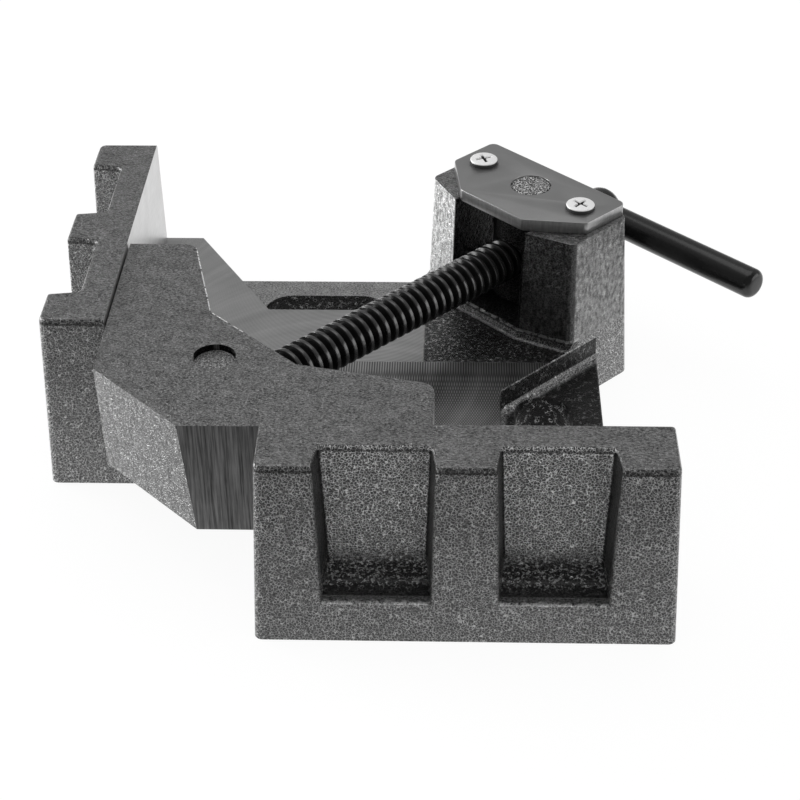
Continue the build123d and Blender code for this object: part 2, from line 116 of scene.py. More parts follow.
# Places on the fixed jaws that the finishes follow
JAW_TOP = 54.2 * MM
POCKETS_RUN = (58.0 * MM, 139.0 * MM)  # along each jaw, with the rib between them
POCKET_ACROSS = (-17.4 * MM, -8.6 * MM)  # from just inside the outer face to past the back
POCKET_FOOT = (15.5 * MM, 23.0 * MM)  # heights where the rounded foot gives way to the back
POCKET_LIP = 12.6 * MM
LIP_EDGE = (-17.6 * MM, -17.2 * MM)  # where the lip ends, behind the outer face
RIB_LINE = 98.7 * MM  # middle of the rib between two pockets
POCKET_SPAN = (8.8 * MM, 36.4 * MM)  # from that line, at the lip

# Places on the floor and the lugs
FLOOR_LEVEL = 19.0 * MM
MILLED_TO = Vector((86.0, 80.0, 0)) * MM  # the floor is left as cast beyond both of these
MILL_RADIUS = 60.0 * MM
MILL_CENTRE = (78.0 * MM, 65.0 * MM)  # of the front pass, and of the pass beyond it
MILL_FEED = 0.75 * MM
SLOT_ACROSS = (112.6 * MM, 130.2 * MM)
SLOT_RUN = (34.8 * MM, 73.7 * MM)
LUG_TOP = 10.8 * MM
LUG_REACH = 138.4 * MM
LUG_ROOT = (104.5 * MM, 106.0 * MM)  # x, a little inside the floor's side by the right lug
LUG_START = (2.0 * MM, 3.0 * MM)  # y, at its near end
LUG_END = (95.0 * MM, 100.0 * MM)  # y, at its far end
LUG_RIDGE = (11.2 * MM, 12.7 * MM)  # heights of the light ridge on its fillet
BACK_LUG = (100.0 * MM, 108.0 * MM)  # y where the top of the back lug begins

# Places on the post
POST_FACE = 141.0 * MM  # along, in front of the post
WINDOW_SIDE = 14.4 * MM  # across, each way
SILL = 22.3 * MM
FOOT_ALONG = (135.0 * MM, 156.0 * MM)  # the rounded foot in front of the post
FOOT_RISE = (19.05 * MM, 21.9 * MM)
FOOT_LINE = (20.8 * MM, 21.1 * MM)  # height of the light line on it
NUT_COVERED = (49.5 * MM, 50.5 * MM)  # height up to which the turned steel lies in shade
TRUNNION_END = (53.0 * MM, 53.5 * MM)
PAST_POST = (260.0 * MM, 270.0 * MM)  # x + y on the screw, between the post and the head

# Places on the moving jaw
MOVING_TOP = 52.8 * MM
MOVING_BACK = 58.1 * MM  # along
ARM_TIP = Vector((19.8, 90.4)) * MM  # inner corner of the left arm
ARM_ROOT = Vector((28.36, 53.81)) * MM  # the other end of its inner edge
NOSE_END = 27.5 * MM  # along
PIN_PLACE = 31.8 * MM
PIN_HOLE = 6.2 * MM  # radius, a little past the pin's

# Camera: the photograph's viewpoint, with its small roll
FRAME_SIDE = 800  # pixels
FOCAL_LENGTH = 1814.1484  # pixels
SENSOR = 36.0  # millimetres
AZIMUTH = 0.038310336746759446
ELEVATION = 0.6143946067150687
ROLL = -0.013388840814049391
DISTANCE = 510.29785 * MM
TARGET = Vector((80.22695, 50.42450, 26.0)) * MM

back = Vector((sin(AZIMUTH) * cos(ELEVATION), -cos(AZIMUTH) * cos(ELEVATION), sin(ELEVATION)))
level_right = (-back).cross(UP).normalized()
level_up = level_right.cross(-back)
right = cos(ROLL) * level_right + sin(ROLL) * level_up
up = cos(ROLL) * level_up - sin(ROLL) * level_right
turned_camera = Matrix((right, up, back)).transposed().to_4x4()
camera = bpy.data.objects.new("camera", bpy.data.cameras.new("camera"))
camera.data.sensor_width = SENSOR
camera.data.lens = FOCAL_LENGTH / FRAME_SIDE * SENSOR
camera.matrix_world = Matrix.Translation(TARGET + back * DISTANCE) @ turned_camera
bpy.context.scene.collection.objects.link(camera)
bpy.context.scene.camera = camera
bpy.context.scene.view_settings.view_transform = "Standard"


class Value:
    """A number that varies over a surface. Its operators add Math nodes."""

    def __init__(self, shader, socket):
        self.shader = shader
        self.socket = socket

    def math(self, operation, *numbers):
        return self.shader.node("ShaderNodeMath", {"operation": operation}, dict(enumerate(numbers)))

    def __add__(self, other):
        return self.math("ADD", self, other)

    __radd__ = __add__

    def __mul__(self, other):
        return self.math("MULTIPLY", self, other)

    __rmul__ = __mul__

    def __sub__(self, other):
        return self.math("SUBTRACT", self, other)

    def __rsub__(self, other):
        return self.math("SUBTRACT", other, self)

    def __abs__(self):
        return self.math("ABSOLUTE", self)

    def root(self):
        return self.math("SQRT", self)

    def sine(self):
        return self.math("SINE", self)

    def lesser(self, other):
        return self.math("MINIMUM", self, other)

    def greater(self, other):
        return self.math("MAXIMUM", self, other)

    def ramp(self, low, high):
        """0 up to low, 1 from high, and smooth between them."""
        inputs = {"Value": self, "From Min": low, "From Max": high}
        return self.shader.node("ShaderNodeMapRange", {"interpolation_type": "SMOOTHSTEP"}, inputs)

    def band(self, low, high, soft):
        """1 between low and high, 0 outside them."""
        return self.ramp(low - soft, low) * (1 - self.ramp(high, high + soft))


class Shader:
    """A node tree, with one method that adds any node to it."""

    def __init__(self, owner):
        owner.use_nodes = True
        self.tree = owner.node_tree

    def node(self, kind, settings=None, inputs=None, output=0):
        made = self.tree.nodes.new(kind)
        for name, setting in (settings or {}).items():
            setattr(made, name, setting)
        for socket, feed in (inputs or {}).items():
            self.feed(made.inputs[socket], feed)
        return Value(self, made.outputs[output])

    def feed(self, socket, feed):
        if isinstance(feed, Value):
            self.tree.links.new(feed.socket, socket)
        else:
            socket.default_value = feed

    def place(self):
        """Object coordinates, in metres."""
        return self.node("ShaderNodeTexCoord", output="Object")

    def facing(self):
        """The surface's direction, on the piece's own axes."""
        return self.node("ShaderNodeTexCoord", output="Normal")

    def parts(self, vector):
        """The three numbers of a vector."""
        return [self.node("ShaderNodeSeparateXYZ", inputs={0: vector}, output=axis) for axis in range(3)]

    def ray(self, kind):
        """1 where a ray of this kind arrives, such as Camera or Glossy."""
        return self.node("ShaderNodeLightPath", output=f"Is {kind} Ray")

    def noise(self, vector, size, detail=2.0, roughness=0.5):
        """Noise with features of about a size in metres."""
        inputs = {"Vector": vector, "Scale": 1 / size, "Detail": detail, "Roughness": roughness}
        return self.node("ShaderNodeTexNoise", inputs=inputs)

    def vector_math(self, operation, inputs):
        return self.node("ShaderNodeVectorMath", {"operation": operation}, inputs)

    def stretched(self, vector, *factors):
        """Coordinates stretched by a factor on each axis."""
        return self.vector_math("DIVIDE", {0: vector, 1: factors})

    def shaken(self, vector, size, reach):
        """Coordinates pushed about by a noise of some size, up to half of reach each way."""
        inputs = {"Vector": vector, "Scale": 1 / size, "Detail": 1.0}
        push = self.node("ShaderNodeTexNoise", inputs=inputs, output="Color")
        centred = self.vector_math("SUBTRACT", {0: push, 1: (0.5, 0.5, 0.5)})
        scaled = self.vector_math("SCALE", {0: centred, "Scale": reach})
        return self.vector_math("ADD", {0: vector, 1: scaled})

    def cell_edge(self, vector, size):
        """Distance to the edge of the nearest cell, 0 on the edge and about 0.4 in the middle."""
        inputs = {"Vector": vector, "Scale": 1 / size}
        return self.node("ShaderNodeTexVoronoi", {"feature": "DISTANCE_TO_EDGE"}, inputs)

    def mixed(self, value, below, above):
        """A number that runs from below to above as value runs from 0 to 1."""
        inputs = {"Factor": value, 2: below, 3: above}
        return self.node("ShaderNodeMix", {"data_type": "FLOAT"}, inputs)


class Finish(Shader):
    """One material of the clamp."""

    def __init__(self, name, **constants):
        self.material = bpy.data.materials.new(name)
        super().__init__(self.material)
        self.surface = self.tree.nodes["Principled BSDF"]
        for socket, number in constants.items():
            self.set(socket.replace("_", " "), number)

    def set(self, socket, feed):
        self.feed(self.surface.inputs[socket], feed)

    def colour(self, value):
        """Base colour, a grey from black at 0 to white at 1."""
        inputs = {"Factor": value, 6: (0, 0, 0, 1), 7: (1, 1, 1, 1)}
        self.set("Base Color", self.node("ShaderNodeMix", {"data_type": "RGBA"}, inputs, output=2))

    def bump(self, height, distance):
        """Height from 0 to 1 stands for a distance in metres."""
        self.set("Normal", self.node("ShaderNodeBump", inputs={"Height": height, "Distance": distance}))


def hammered(finish, place, size):
    """The broken light lines of hammer paint, from 0 to 1."""
    shaken = finish.shaken(place, 1.6 * size, 1.3 * size)
    lines = 1 - finish.cell_edge(shaken, size).ramp(0.0, 0.13)
    return lines * finish.noise(place, 1.1 * size, detail=1.0).ramp(0.25, 0.52)


def painted(finish, place, level, spread, relief, flat=0.0):
    """Shade and height of hammer paint, around a level of grey.

    Relief is a share of a millimetre, and the pattern is finer where flat is 1."""
    lines = hammered(finish, place, 0.8 * MM)
    patches = finish.noise(place, 4.0 * MM)
    grain = finish.noise(place, 0.4 * MM, detail=2.0, roughness=0.7)
    streaks = finish.noise(finish.stretched(place, 1.8, 1, 1), 0.36 * MM, detail=3.0, roughness=0.75)
    skin = finish.noise(place, 1.4 * MM, detail=2.0, roughness=0.6)
    coarse = lines * (0.7 + patches * 1.1) + grain - 0.76
    fine = streaks * 2.6 + patches * 0.4 - 1.5
    shade = level * (1 + finish.mixed(flat, coarse, fine) * spread)
    return shade, (lines * 0.3 + skin) * relief


def hammer_paint():
    """The paint of both castings, with painted shade and painted highlights. Each mask is 1 at one place
    of the clamp and 0 elsewhere.
    """
    paint = Finish("hammer_paint", Coat_Roughness=0.22)
    place = paint.place()
    x, y, z = paint.parts(place)
    facing = paint.parts(paint.facing())
    top = facing[2].ramp(0.8, 0.97)
    upright = 1 - top
    inward = x.lesser(y)
    run = x.greater(y)
    diagonal = (x + y) * DIAGONAL.x
    sideways = abs(x - y) * DIAGONAL.x
    outside = 1 - inward.ramp(-0.8 * MM, -0.2 * MM)
    broken = paint.noise(place, 1.3 * MM).ramp(0.38, 0.5)

    # Top edges of the fixed jaws, where the paint ends in a ragged light line, with a painted shadow line
    # under it and painted shade on the rounded edge
    ragged = paint.noise(paint.stretched(place, 1, 1, 3), 1.4 * MM) - 0.5
    lip_height = z + ragged * (0.7 * MM)
    lip = outside * lip_height.band(JAW_TOP - 0.75 * MM, JAW_TOP - 0.35 * MM, 0.15 * MM)
    shadow_under_lip = outside * lip_height.band(JAW_TOP - 1.7 * MM, JAW_TOP - 1.1 * MM, 0.2 * MM)
    rim_height = z.ramp(JAW_TOP - 1.3 * MM, JAW_TOP - 0.9 * MM)
    rim = facing[2].band(0.3, 0.88, 0.08) * rim_height * outside

    # Pockets
    pocket_zone = inward.band(*POCKET_ACROSS, 0.5 * MM) * run.band(*POCKETS_RUN, 0.3 * MM)
    in_pocket = pocket_zone * upright
    front_side = 1 - y.ramp(-1 * MM, 0)
    pocket_wall = in_pocket * front_side * abs(facing[0]).ramp(0.55, 0.85)
    pocket_foot = pocket_zone * (1 - z.ramp(*POCKET_FOOT))
    pocket_back = in_pocket * (1 - pocket_wall) * (1 - pocket_foot) * paint.mixed(front_side, 0.05, 1.0)
    at_lip = lip_height.band(POCKET_LIP - 0.5 * MM, POCKET_LIP, 0.2 * MM)
    pocket_lip = abs(run - RIB_LINE).band(*POCKET_SPAN, 0.1 * MM) * outside * at_lip
    pocket_lip = pocket_lip * (1 - inward.ramp(*LIP_EDGE))

    # Side of the floor beside the right lug, in painted shade but for its ridges, then the back lug and
    # the slots
    beside_lug = (1 - y.ramp(*LUG_END)) * x.ramp(*LUG_ROOT) * y.ramp(*LUG_START)
    beside_lug = beside_lug * (1 - z.ramp(FLOOR_LEVEL - 0.1 * MM, FLOOR_LEVEL + 0.1 * MM))
    beside_lug = beside_lug * (1 - x.ramp(LUG_REACH - 0.3 * MM, LUG_REACH))
    under_floor = z.ramp(FLOOR_LEVEL - 0.7 * MM, FLOOR_LEVEL - 0.5 * MM)
    ridge = beside_lug * z.band(*LUG_RIDGE, 0.4 * MM) + beside_lug * under_floor
    shaded_side = beside_lug - ridge
    low = 1 - z.ramp(FLOOR_LEVEL - 1 * MM, FLOOR_LEVEL + 0.1 * MM)
    on_lug = top * low * y.ramp(*BACK_LUG)
    in_slot = run.band(*SLOT_ACROSS, 0.2 * MM) * inward.band(*SLOT_RUN, 0.2 * MM) * upright
    in_slot = in_slot * (1 - z.ramp(LUG_TOP - 0.2 * MM, LUG_TOP + 0.1 * MM))

    # Post, its window and its rounded foot, with painted shade on its front faces and painted light on
    # its left flank
    at_post = diagonal.ramp(POST_FACE, POST_FACE + 1 * MM) * z.ramp(SILL - 2 * MM, SILL - 1 * MM)
    in_window = at_post * (1 - sideways.ramp(WINDOW_SIDE, WINDOW_SIDE + 0.3 * MM))
    post_front = at_post * (0 - facing[1]).ramp(0.7, 0.85)
    post_left = at_post * (0 - facing[0]).ramp(0.7, 0.85)
    foot_ridge = diagonal.band(*FOOT_ALONG, 1 * MM) * z.band(*FOOT_RISE, 0.05 * MM) * upright
    foot_line = foot_ridge * z.ramp(*FOOT_LINE)

    # Moving jaw: its nose, the hole of its pin, and the burr on the rear edge of its top
    at_nose = (1 - diagonal.ramp(NOSE_END, NOSE_END + 1 * MM)) * inward.ramp(0, 0.4 * MM) * upright
    from_pin = ((x - PIN_PLACE) * (x - PIN_PLACE) + (y - PIN_PLACE) * (y - PIN_PLACE)).root()
    pin_hole = (1 - from_pin.ramp(PIN_HOLE, PIN_HOLE + 0.1 * MM)) * upright
    edge_out = Vector((ARM_TIP.y - ARM_ROOT.y, ARM_ROOT.x - ARM_TIP.x)).normalized()
    past_arm = x * edge_out.x + y * edge_out.y - ARM_TIP.dot(edge_out)
    past_edge = past_arm.lesser(diagonal - MOVING_BACK)
    at_moving_top = z.band(MOVING_TOP - 0.3 * MM, MOVING_TOP + 0.2 * MM, 0.05 * MM)
    burr = past_edge.ramp(-0.4 * MM, -0.25 * MM) * (y - x).ramp(5 * MM, 6 * MM) * top * at_moving_top

    # Paint around a level of grey, a little darker on top faces and a little lighter on the post's
    # upright faces, with painted light on the pockets' backs, the back lug's top and the post's left
    # flank
    level = 0.225 - top * 0.035 + pocket_back * 0.16 + on_lug * 0.15 + post_left * 0.5
    level = level + at_post * upright * 0.03
    # Painted shade in recesses: the pockets' side walls, the slots, the window, the pin's hole and the
    # side beside the right lug
    painted_recess_shade = pocket_wall * 0.9 + in_slot + in_window + pin_hole + shaded_side * upright * 0.7
    painted_recess_shade = painted_recess_shade.lesser(1)
    # Painted shade also on the pockets' feet, the post's foot but for its light line, the jaws' rounded
    # top edges and the post's front
    dark = (1 - pocket_foot * 0.65) * (1 - painted_recess_shade * 0.93) * (1 - (foot_ridge - foot_line) * 0.8)
    dark = dark * (1 - rim * 0.45) * (1 - post_front * 0.8) * (1 - shaded_side * 0.8)
    relief = paint.mixed(top, 0.5, 0.25) + in_pocket * 0.1 + pocket_foot * 0.8 + at_post * 0.5
    spread = paint.mixed(top, 2.1, 2.4) + pocket_back * 1.1 - at_post * upright * 1.3 - at_nose * 1.1
    shade, height = painted(paint, place, level * dark, spread, relief, top)
    peel = paint.noise(paint.stretched(place, 1, 1, 1.7), 1.1 * MM, detail=2.0) - 0.5
    shade = shade * (1 + (at_post * upright * 3.4 + at_nose * 2.6) * peel)

    # Painted highlights: on the folds in the foot of a pocket, glints in the slots and beside the right
    # lug, and a broken line on the post's foot; light lines also on the burr, the pockets' lips and the
    # jaws' top edges
    folds = paint.noise(paint.stretched(place, 2.6, 2.6, 1), 0.9 * MM, detail=3.0, roughness=0.6) - 0.5
    wrinkle_highlights = (1 - abs(folds).ramp(0.0, 0.05)) * paint.noise(place, 0.8 * MM).ramp(0.42, 0.55)
    wrinkle_highlights = wrinkle_highlights * pocket_foot * z.ramp(13 * MM, 14 * MM) * 1.5
    sparse = paint.noise(place, 1.8 * MM).ramp(0.5, 0.62)
    glints = hammered(paint, place, 0.8 * MM) * sparse * (in_slot * 0.3 + shaded_side * 0.3)
    edge_lines_and_highlights = (foot_line * 0.25 + burr + pocket_lip * 0.5) * broken + lip * 0.05

    paint.colour((shade * (1 - shadow_under_lip * 0.75) + edge_lines_and_highlights + glints + wrinkle_highlights).greater(0.008))
    paint.set("Coat Weight", 0.6 - painted_recess_shade * 0.5 - pocket_back * 0.1)
    paint.set("Metallic", paint.mixed(pocket_back, 0.97, 0.3))
    paint.set("Roughness", paint.mixed(in_pocket, 0.38, 0.36))
    paint.bump(height, 1.0 * MM)
    return paint


def mill_arc(ahead, beside, centre, side):
    """Distance ahead of the arc that a face mill leaves, at its front (1) or its back (-1) edge."""
    offset = beside - centre
    reach = (MILL_RADIUS * MILL_RADIUS - offset * offset).greater(0).root()
    return ahead - reach * side


def mill_marks(arc):
    """Feed marks on an arc, from 0 to 1."""
    return (arc * (2 * pi / MILL_FEED)).sine() * 0.5 + 0.5


def milled_floor():
    """The floor, milled in two passes up to where it is left as cast."""
    milled = Finish("milled_floor", Metallic=0.97)
    place = milled.place()
    x, y, _ = milled.parts(place)
    as_cast = (x - MILLED_TO.x).lesser(y - MILLED_TO.y).ramp(-0.2 * MM, 0.5 * MM)
    glints = hammered(milled, place, 0.9 * MM) * milled.noise(place, 1.2 * MM).ramp(0.45, 0.6)
    cast_skin = milled.noise(place, 1.1 * MM, detail=3.0, roughness=0.65)
    # Where the floor is left as cast by the post it is dark, partly its cast skin and partly painted
    # shade, with painted glints
    cast_shade = milled.noise(place, 0.6 * MM) * 0.12 + glints * 0.5
    past_front = (y - MILLED_TO.y).ramp(-0.3 * MM, 0.3 * MM)
    near = mill_arc(x, y, MILL_CENTRE[0], 1)
    far = mill_arc(x, y, MILL_CENTRE[0], -1)
    beyond = mill_arc(y, x, MILL_CENTRE[1], 1)
    marks = milled.mixed(past_front, mill_marks(near) * mill_marks(far), mill_marks(beyond))
    swept = milled.node("ShaderNodeCombineXYZ", inputs={0: milled.mixed(past_front, near, beyond)})
    bands = milled.noise(swept, 5 * MM, detail=3.0) * 0.6 + milled.noise(place, 14 * MM, detail=3.0) * 0.4
    metal = 0.06 + marks * milled.mixed(past_front, 0.34, 0.3) + bands * 0.42 - (1 - past_front) * 0.13
    milled.colour(milled.mixed(as_cast, metal, cast_shade))
    milled.set("Roughness", milled.mixed(as_cast, 0.34, 0.25))
    milled.bump(milled.mixed(as_cast, marks * 0.012 + 0.2, cast_skin * 0.4), 1.0 * MM)
    return milled


def ground_iron():
    """Bare ground iron, with a bright burr along the top of the moving jaw."""
    iron = Finish("ground_iron", Metallic=1.0, Roughness=0.38)
    place = iron.place()
    x, y, z = iron.parts(place)
    scratches = iron.noise(iron.stretched(place, 12, 12, 1), 0.5 * MM, detail=3.0)
    clouds = iron.noise(place, 9 * MM)
    burr = z.band(MOVING_TOP - 0.4 * MM, MOVING_TOP, 0.1 * MM) * x.lesser(y).ramp(4 * MM, 5 * MM)
    broken = iron.noise(place, 1.2 * MM).ramp(0.4, 0.5)
    iron.colour(0.45 + scratches * 0.2 + clouds * 0.2 + burr * broken * 0.5)
    return iron


def milled_jaw():
    """The clamping faces of the moving jaw, with upright tool marks."""
    sawn = Finish("milled_jaw", Metallic=0.95, Roughness=0.4)
    place = sawn.place()
    upright_lines = sawn.noise(sawn.stretched(place, 1, 1, 30), 0.55 * MM, detail=3.0, roughness=0.65)
    blotches = sawn.noise(place, 5 * MM)
    sawn.colour((upright_lines - 0.5) * 0.5 + blotches * 0.06 + 0.12)
    sawn.bump(upright_lines, 0.03 * MM)
    return sawn


def plate_steel():
    """Dark rolled steel, with brighter sheared edges."""
    plate = Finish("plate_steel", Metallic=0.9)
    place = plate.place()
    sides = 1 - abs(plate.parts(plate.facing())[2]).ramp(0.4, 0.9)
    sheared = plate.noise(plate.stretched(place, 1, 1, 9), 0.6 * MM, detail=2.0)
    rolled = plate.noise(place, 8 * MM, detail=4.0)
    plate.colour(0.29 + rolled * 0.07 + sides * (sheared * 0.25 - 0.07))
    plate.set("Roughness", plate.mixed(sides, 0.4, 0.3))
    return plate


def zinc_plate():
    """Bright zinc, with painted shade in the recess of a cover screw."""
    zinc = Finish("zinc_plate", Metallic=0.3, Roughness=0.4)
    place = zinc.place()
    out_of_recess = zinc.parts(place)[2].ramp(HEAD_FLAT - 0.5 * MM, HEAD_FLAT - 0.2 * MM)
    # painted shade in the cross recess
    zinc.colour((0.9 + zinc.noise(place, 0.6 * MM) * 0.2) * zinc.mixed(out_of_recess, 0.05, 1.0))
    return zinc


def turned_steel():
    """Dulled steel, mottled as the paint is, most of all on the nut's trunnion, with painted shade lower
    down.
    """
    turned = Finish("turned_steel", Metallic=0.9, Roughness=0.42)
    place = turned.place()
    z = turned.parts(place)[2]
    trunnion_top = z.ramp(*TRUNNION_END)
    level = turned.mixed(trunnion_top, 0.27, 0.35)
    spread = turned.mixed(trunnion_top, 1.6, 2.8)
    shade, height = painted(turned, place, level, spread, 0.3)
    turned.colour(shade * turned.mixed(z.ramp(*NUT_COVERED), 0.1, 1.0))
    turned.bump(height, 1.0 * MM)
    return turned


paint = hammer_paint()
milled = milled_floor()
bare_iron = ground_iron()
sawn = milled_jaw()
plate = plate_steel()
zinc = zinc_plate()
turned = turned_steel()
spring = Finish("spring_steel", Metallic=1.0, Roughness=0.4, Base_Color=(0.15, 0.15, 0.15, 1))


def dress(name, finish, *others):
    """Gives a CAD node its finishes. Each other one comes with the test of a face that it covers."""
    mesh = nodes[name].data
    mesh.materials.clear()
    mesh.materials.append(finish.material)
    for other, _ in others:
        mesh.materials.append(other.material)
    for face in mesh.polygons:
        covers = [slot for slot, (_, test) in enumerate(others, 1) if test(face.center, face.normal)]
        face.material_index = covers[0] if covers else 0


def on_floor(centre, normal):
    return normal.z > 0.99 and abs(centre.z - FLOOR_LEVEL) < 0.05 * MM


def on_clamping_face(centre, normal):
    """On the plane X = 0 facing +X, or on the plane Y = 0 facing +Y."""
    reaches = min(abs(centre.x) + 1 - normal.x, abs(centre.y) + 1 - normal.y)
    return reaches < 0.05 * MM and centre.z > FLOOR_LEVEL


def on_moving_face(centre, normal):
    return min(normal.x, normal.y) < -0.99


def on_arm_back(centre, normal):
    return along(normal) > 0.5 and abs(normal.z) < 0.1


dress("body_casting", paint, (milled, on_floor), (bare_iron, on_clamping_face))
dress("moving_jaw", paint, (sawn, on_moving_face), (bare_iron, on_arm_back))
dress("swivel_nut", turned)
dress("jaw_pivot_pin", turned)
dress("thrust_washer", turned)
dress("pull_washer", turned)
dress("retaining_ring", spring)


def piece(name, mesh_maker, finish, slot, body, *replaced):
    """Makes a piece of the clamp, which rides on a body and stands for CAD nodes."""
    shape = bmesh.new()
    mesh_maker(shape)
    bmesh.ops.remove_doubles(shape, verts=shape.verts, dist=SAME_CORNER)
    bmesh.ops.recalc_face_normals(shape, faces=shape.faces)
    mesh = bpy.data.meshes.new(name)
    shape.to_mesh(mesh)
    shape.free()
    mesh.materials.append(finish.material)
    made = bpy.data.objects.new(name, mesh)
    bpy.context.scene.collection.objects.link(made)
    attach(made, body)
    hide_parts(*replaced)
    return made


def turn_profile(shape, points, centre, axis, out, steps):
    """Spins a profile of (distance along the axis, radius) round an axis through centre."""
    ring = [shape.verts.new(centre + axis * run + out * radius) for run, radius in points]
    edges = [shape.edges.new(pair) for pair in zip(ring, ring[1:])]
    geom = ring + edges
    bmesh.ops.spin(shape, geom=geom, cent=centre, axis=axis, angle=2 * pi, steps=steps, use_merge=True)


def rounded(points, corner, radius, steps=6):
    """Rounds one right-angled corner of a profile, given by its index."""
    before, at, after = (Vector(points[corner + shift]) for shift in (-1, 0, 1))
    toward = (before - at).normalized()
    away = (after - at).normalized()
    centre = at + (toward + away) * radius
    arc = []
    for step in range(steps + 1):
        turn = step / steps * pi / 2
        arc.append(tuple(centre - away * radius * cos(turn) - toward * radius * sin(turn)))
    return points[:corner] + arc + points[corner + 1 :]


def cut(made, cutter_maker):
    """Cuts a shape out of a finished piece."""
    shape = bmesh.new()
    cutter_maker(shape)
    bmesh.ops.recalc_face_normals(shape, faces=shape.faces)
    cutter = bpy.data.objects.new("cutter", bpy.data.meshes.new("cutter"))
    shape.to_mesh(cutter.data)
    shape.free()
    bpy.context.scene.collection.objects.link(cutter)
    boolean = made.modifiers.new("cut", "BOOLEAN")
    boolean.operation = "DIFFERENCE"
    boolean.solver = "EXACT"
    boolean.object = cutter
    bpy.context.view_layer.update()
    evaluated = made.evaluated_get(bpy.context.evaluated_depsgraph_get())
    result = bpy.data.meshes.new_from_object(evaluated)
    made.modifiers.clear()
    made.data = result
    bpy.data.objects.remove(cutter)


def join(name, *parts):
    """Joins finished meshes into the first one."""
    whole = bmesh.new()
    for part in parts:
        whole.from_mesh(part.data)
    whole.to_mesh(parts[0].data)
    whole.free()
    parts[0].name = name
    for part in parts[1:]:
        bpy.data.objects.remove(part)
    return parts[0]


def smooth(made, angle):
    """Smooth shading, with the edges over an angle in degrees kept sharp."""
    mesh = made.data
    mesh.polygons.foreach_set("use_smooth", [True] * len(mesh.polygons))
    mesh.set_sharp_from_angle(angle=radians(angle))


def as_packed(shape, name):
    """The solid of a node, with its corners joined."""
    shape.from_mesh(nodes[name].data)
    bmesh.ops.remove_doubles(shape, verts=shape.verts, dist=SAME_PACKED_CORNER)


def cut_away(shape, end, outwards):
    """Removes what lies past a plane square to the screw, at a distance along it."""
    everything = shape.verts[:] + shape.edges[:] + shape.faces[:]
    plane = {"plane_co": DIAGONAL * end, "plane_no": outwards}
    bmesh.ops.bisect_plane(shape, geom=everything, clear_outer=True, **plane)


# Measures of the screw
screw_points = [vertex.co for vertex in nodes["lead_screw"].data.vertices]
screw_low, screw_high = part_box("lead_screw")
nut_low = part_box("swivel_nut")[0]
screw_end = max(along(point) for point in screw_points)
head_radius = (screw_high.z - screw_low.z) / 2
screw_height = (screw_high.z + screw_low.z) / 2
axis_start = Vector((0, 0, screw_height))


def off_axis(point):
    """Distance of a point from the screw's axis."""
    return hypot(point.z - screw_height, across(point))


crest = max(off_axis(point) for point in screw_points if along(point) < along(nut_low))
shoulder = min(along(point) for point in screw_points if off_axis(point) > crest - NEAR)


def black_oxide():
    """Oiled black steel, a little lighter past the post, with painted highlights on the crests of the
    thread.
    """
    black = Finish("black_oxide", Metallic=0.85, Roughness=0.22)
    place = black.place()
    x, y, z = black.parts(place)
    aside = (x - y) * DIAGONAL.x
    rise = z - screw_height
    from_axis = (aside * aside + rise * rise).root()
    on_crest = from_axis.band(crest - 0.12 * MM, crest + 0.05 * MM, 0.05 * MM)
    oil = black.noise(place, 0.8 * MM, detail=2.0)
    # painted highlights on the crests
    black.colour(0.022 + (x + y).ramp(*PAST_POST) * 0.02 + oil * 0.025 + on_crest * 0.07)
    return black


black = black_oxide()

# Handle bar, with its rounded ends
bar_low, bar_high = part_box("tommy_bar")
bar_middle = (bar_low + bar_high) / 2
bar_radius = (bar_high.z - bar_low.z) / 2
bar_points = [across(vertex.co) for vertex in nodes["tommy_bar"].data.vertices]
bar_half = (max(bar_points) - min(bar_points)) / 2


def shape_bar(shape):
    profile = [(-bar_half, 0), (-bar_half, bar_radius), (bar_half, bar_radius), (bar_half, 0)]
    profile = rounded(rounded(profile, 2, BAR_END_RADIUS), 1, BAR_END_RADIUS)
    turn_profile(shape, profile, bar_middle, SIDEWAYS, UP, ROUND_STEPS)


handle_bar = piece("handle_bar", shape_bar, black, "black_oxide", "handle_bar", "tommy_bar")
smooth(handle_bar, 40)


# Cover plate, with its edges eased
def shape_plate(shape):
    as_packed(shape, "cover_plate")
    flat = [edge for edge in shape.edges if edge.calc_face_angle(0) < radians(1)]
    bmesh.ops.dissolve_edges(shape, edges=flat, use_verts=True)
    rims = [edge for edge in shape.edges if edge.calc_face_angle(0) > radians(60)]
    size = {"offset": PLATE_EDGE, "segments": PLATE_EDGE_STEPS}
    bmesh.ops.bevel(shape, geom=rims, affect="EDGES", profile=0.5, material=-1, **size)


steel_plate = piece("steel_plate", shape_plate, plate, "plate_steel", "clamp_body", "cover_plate")
smooth(steel_plate, 30)

# Screw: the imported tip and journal, a helical thread, and a round head with a bore for the bar
bar_along = along(bar_middle)
head_front = 2 * bar_along - screw_end
thread_end = head_front - THREAD_END_GAP


